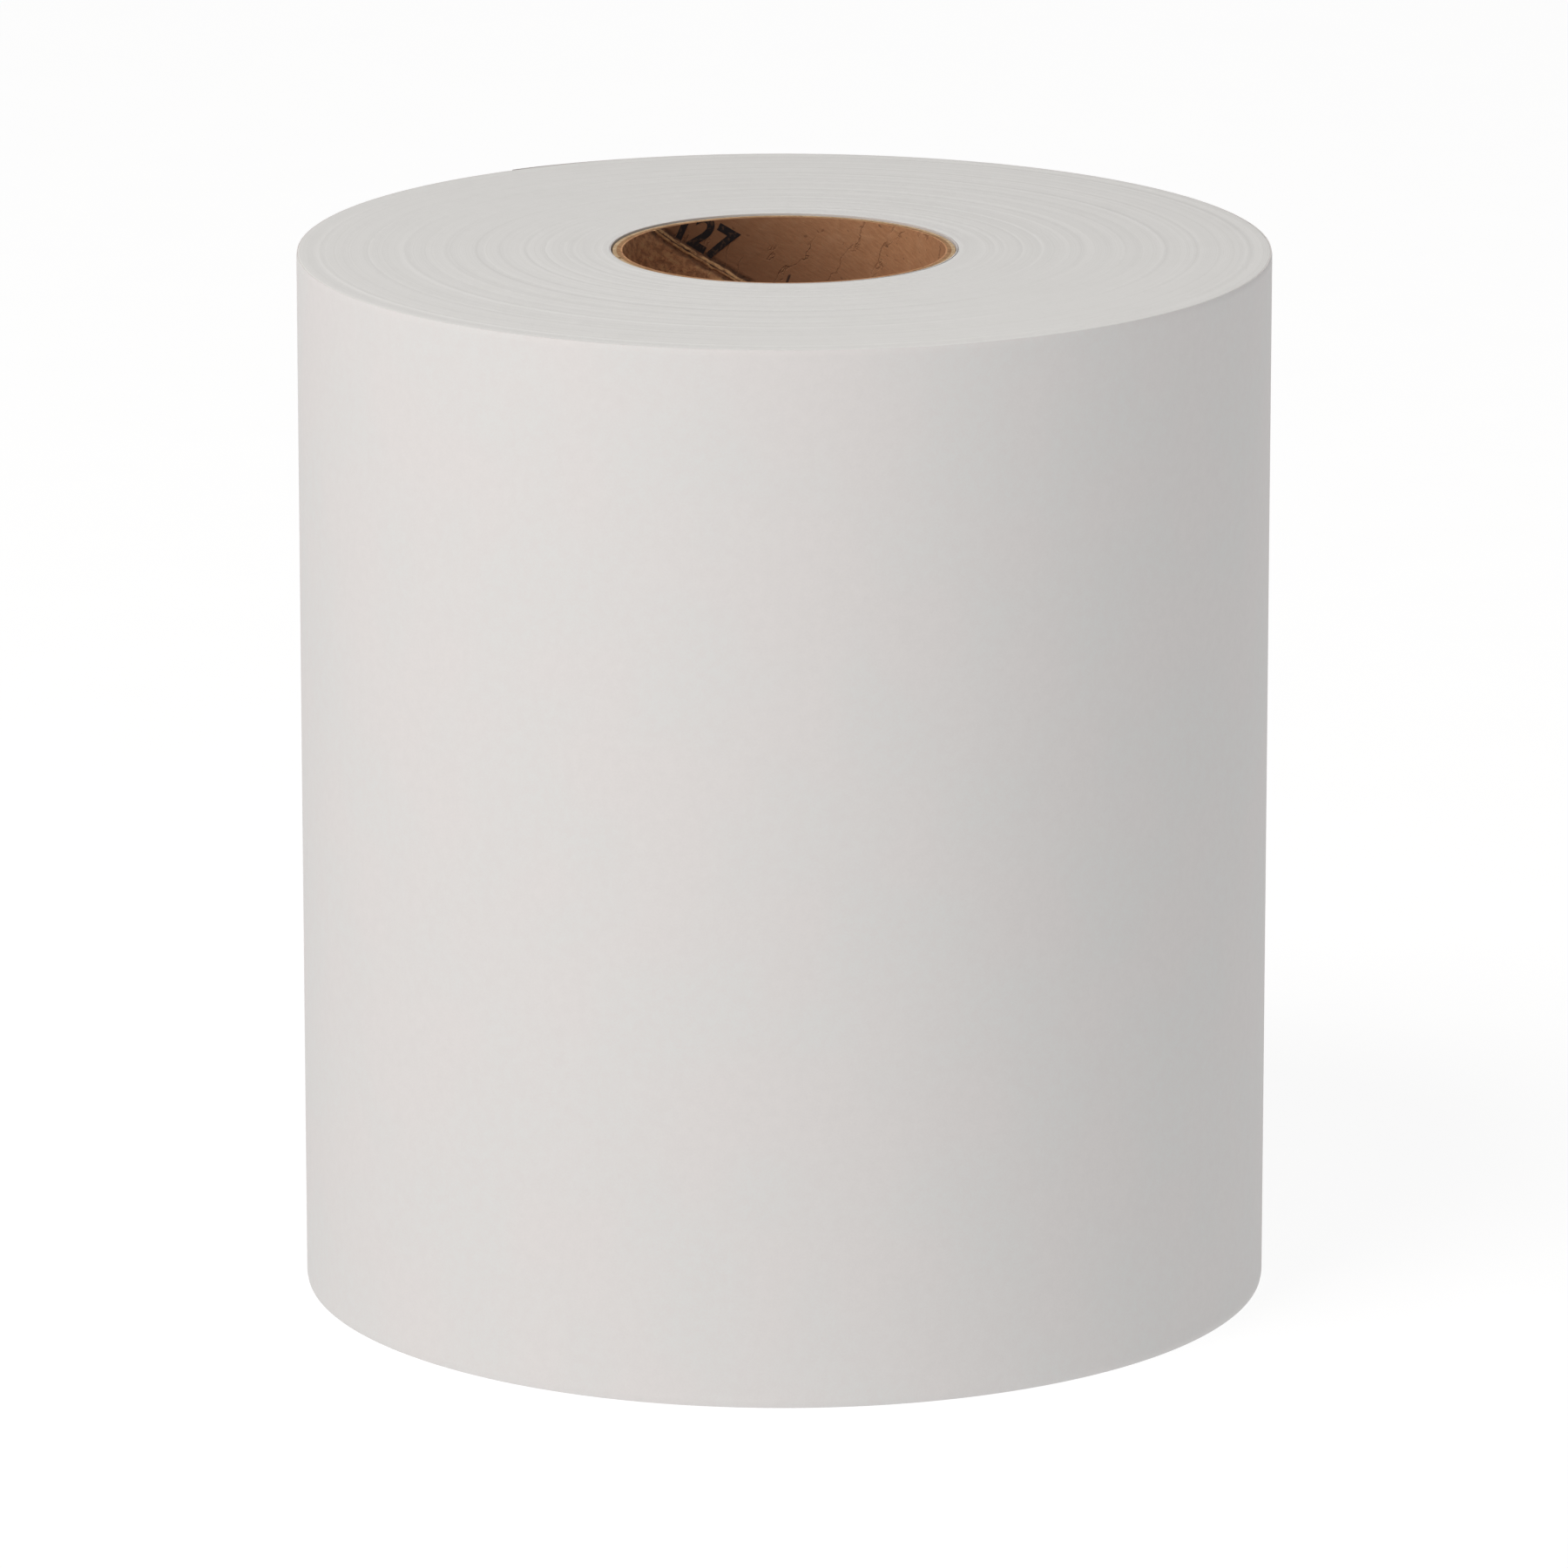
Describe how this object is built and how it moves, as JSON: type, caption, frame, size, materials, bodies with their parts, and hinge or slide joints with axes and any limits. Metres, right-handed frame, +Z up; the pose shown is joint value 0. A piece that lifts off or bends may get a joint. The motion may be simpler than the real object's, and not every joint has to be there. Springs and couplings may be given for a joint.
{
  "type": "backdrop paper roll",
  "caption": "Short thick roll of plain white backdrop paper wound on a spiral-wound brown board core with an open bore; its taped tail peels and lifts off.",
  "frame": {"origin": "centre of the bore on the plane of the end face that the roll stands on", "axes": "+Z up along the core's axis, +Y towards the side where the tail lies"},
  "size_m": [0.2293, 0.2296, 0.25],
  "materials": {
    "backdrop_paper": "matte",
    "core_kraft": "matte",
    "core_board": "matte",
    "paper_tape": "satin"
  },
  "bodies": {
    "roll": {"core_liner_ply": "core_kraft", "core_body_ply_1": "core_board", "core_body_ply_2": "core_board", "core_body_ply_3": "core_board", "core_cover_ply": "core_board", "start_tape": "paper_tape", "first_turn": "backdrop_paper", "wound_paper": "backdrop_paper", "last_turn": "backdrop_paper"},
    "tail_1": {"tail_panel_1": "backdrop_paper"},
    "tail_2": {"tail_panel_2": "backdrop_paper"},
    "tail_3": {"tail_panel_3": "backdrop_paper", "tail_tape_on_tail": "paper_tape"},
    "tail_tape": {"tail_tape_on_roll": "paper_tape"}
  },
  "joints": [
    {"name": "tail_lift", "type": "hinge", "parent": "roll", "child": "tail_1", "pos_m": [0.07344, 0.08835, 0.125], "axis": [0, 0, -1], "range_deg": [0, 40]},
    {"name": "tail_uncurl_2", "type": "hinge", "parent": "tail_1", "child": "tail_2", "pos_m": [0.0294, 0.1111, 0.125], "axis": [0, 0, -1], "range_deg": [0, 24]},
    {"name": "tail_uncurl_3", "type": "hinge", "parent": "tail_2", "child": "tail_3", "pos_m": [-0.02014, 0.11318, 0.125], "axis": [0, 0, -1], "range_deg": [0, 24]},
    {"name": "tape_peel", "type": "hinge", "parent": "tail_3", "child": "tail_tape", "pos_m": [-0.06596, 0.0942, 0.125], "axis": [0, 0, -1], "range_deg": [0, 100]}
  ],
  "couplings": [
    {"joint": "tail_uncurl_2", "follows": "tail_lift", "ratio": 0.6},
    {"joint": "tail_uncurl_3", "follows": "tail_lift", "ratio": 0.6}
  ]
}
